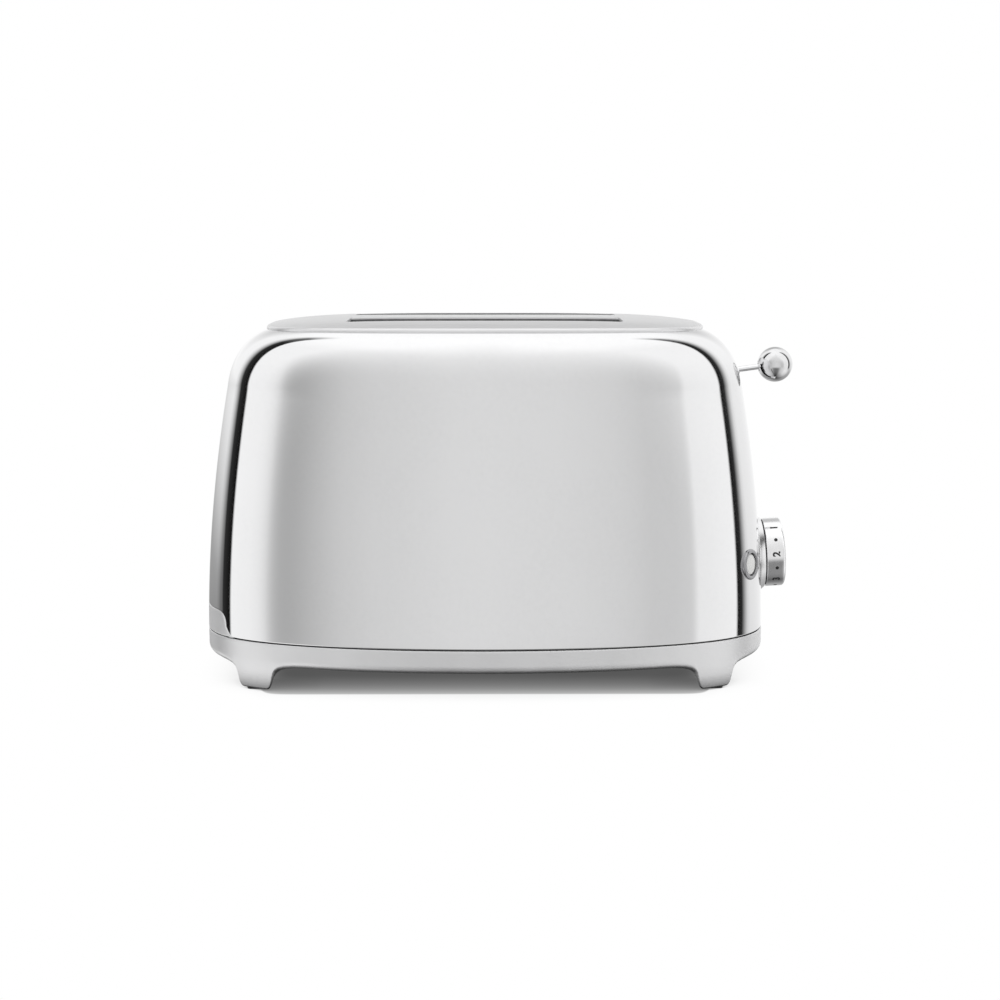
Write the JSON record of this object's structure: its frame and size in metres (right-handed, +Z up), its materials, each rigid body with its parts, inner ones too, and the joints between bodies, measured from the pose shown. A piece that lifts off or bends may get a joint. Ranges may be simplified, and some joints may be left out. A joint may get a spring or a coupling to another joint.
{
  "type": "two-slice toaster",
  "caption": "Rounded metal toaster on four short feet: long slots in a brushed top panel, a ball-ended lever, a browning knob and buttons on one end, and a slide-out crumb tray.",
  "frame": {"origin": "middle of the whole object's footprint, on the plane that the foot pads stand on; the body's own middle lies 9.15 mm towards -X, because the lever's ball reaches past the body", "axes": "+X towards the lever and the knob, -Y towards the front, +Z up"},
  "size_m": [0.3282, 0.195, 0.1976],
  "materials": {
    "polished_steel": "polished stainless steel, nearly a mirror",
    "brushed_top": "stainless steel brushed along its length",
    "satin_base": "satin silver",
    "chrome_trim": "polished chrome",
    "plated_sheet": "bright galvanised sheet",
    "steel_wire": "drawn wire",
    "black_rubber": "matt",
    "black_plastic": "matt",
    "white_button": "semi-gloss",
    "white_insulator": "matt",
    "mica_card": "mica sheet, layered and matt",
    "circuit_board": "lacquered",
    "copper_winding": "enamelled copper"
  },
  "bodies": {
    "root": {"body_shell": "polished_steel", "top_panel": "brushed_top", "base": "satin_base", "bottom_plate": "plated_sheet", "foot_pad_front_left": "black_rubber", "foot_pad_front_right": "black_rubber", "foot_pad_rear_left": "black_rubber", "foot_pad_rear_right": "black_rubber", "base_screw_front_left": "plated_sheet", "base_screw_front_right": "plated_sheet", "base_screw_rear_left": "plated_sheet", "base_screw_rear_right": "plated_sheet", "cord_gland": "black_plastic", "terminal_block": "white_insulator", "end_frame_left": "plated_sheet", "end_frame_right": "plated_sheet", "reflector_front": "plated_sheet", "reflector_rear": "plated_sheet", "heater_front": "mica_card", "heater_centre": "mica_card", "heater_rear": "mica_card", "tray_runner_front": "plated_sheet", "tray_runner_rear": "plated_sheet", "magnet_core": "plated_sheet", "magnet_coil": "copper_winding", "return_spring": "steel_wire", "lever_slot_guard": "black_plastic", "guide_rod": "steel_wire", "knob_bezel": "chrome_trim", "potentiometer": "plated_sheet", "control_board": "circuit_board", "button_ring_front": "chrome_trim", "button_switch_front": "black_plastic", "button_ring_rear": "chrome_trim", "button_switch_rear": "black_plastic"},
    "carriage": {"carriage_bracket": "plated_sheet", "guide_bush": "white_insulator", "bread_rest_front": "steel_wire", "bread_rest_rear": "steel_wire", "keeper_plate": "plated_sheet", "lever_rod": "chrome_trim", "lever_ball": "chrome_trim"},
    "front_inner_guide": {"front_cage_inner": "steel_wire"},
    "front_outer_guide": {"front_cage_outer": "steel_wire"},
    "rear_inner_guide": {"rear_cage_inner": "steel_wire"},
    "rear_outer_guide": {"rear_cage_outer": "steel_wire"},
    "knob": {"browning_knob": "chrome_trim", "knob_shaft": "steel_wire"},
    "front_button": {"button_front": "white_button"},
    "rear_button": {"button_rear": "white_button"},
    "tray": {"crumb_tray": "plated_sheet", "tray_front": "polished_steel"}
  },
  "joints": [
    {"name": "lever_slide", "type": "slide", "parent": "root", "child": "carriage", "axis": [0, 0, -1], "range_m": [0, 0.052], "stiffness_N_per_m": 70, "springref_m": -0.06, "deforming": ["return_spring"]},
    {"name": "front_inner_guide_slide", "type": "slide", "parent": "root", "child": "front_inner_guide", "axis": [0, -1, 0], "range_m": [0, 0.006]},
    {"name": "front_outer_guide_slide", "type": "slide", "parent": "root", "child": "front_outer_guide", "axis": [0, 1, 0], "range_m": [0, 0.006]},
    {"name": "rear_inner_guide_slide", "type": "slide", "parent": "root", "child": "rear_inner_guide", "axis": [0, 1, 0], "range_m": [0, 0.006]},
    {"name": "rear_outer_guide_slide", "type": "slide", "parent": "root", "child": "rear_outer_guide", "axis": [0, -1, 0], "range_m": [0, 0.006]},
    {"name": "browning_turn", "type": "hinge", "parent": "root", "child": "knob", "pos_m": [0.14475, 0, 0.0625], "axis": [0.9984, 0, 0.057], "range_deg": [-192, 48]},
    {"name": "front_button_press", "type": "slide", "parent": "root", "child": "front_button", "axis": [-0.8218, 0.5664, -0.0618], "range_m": [0, 0.0015], "stiffness_N_per_m": 300, "springref_m": -0.001},
    {"name": "rear_button_press", "type": "slide", "parent": "root", "child": "rear_button", "axis": [-0.8218, -0.5664, -0.0618], "range_m": [0, 0.0015], "stiffness_N_per_m": 300, "springref_m": -0.001},
    {"name": "tray_slide", "type": "slide", "parent": "root", "child": "tray", "axis": [-1, 0, 0], "range_m": [0, 0.2]}
  ],
  "couplings": [
    {"joint": "front_inner_guide_slide", "follows": "lever_slide", "ratio": 0.115},
    {"joint": "front_outer_guide_slide", "follows": "lever_slide", "ratio": 0.115},
    {"joint": "rear_inner_guide_slide", "follows": "lever_slide", "ratio": 0.115},
    {"joint": "rear_outer_guide_slide", "follows": "lever_slide", "ratio": 0.115}
  ]
}
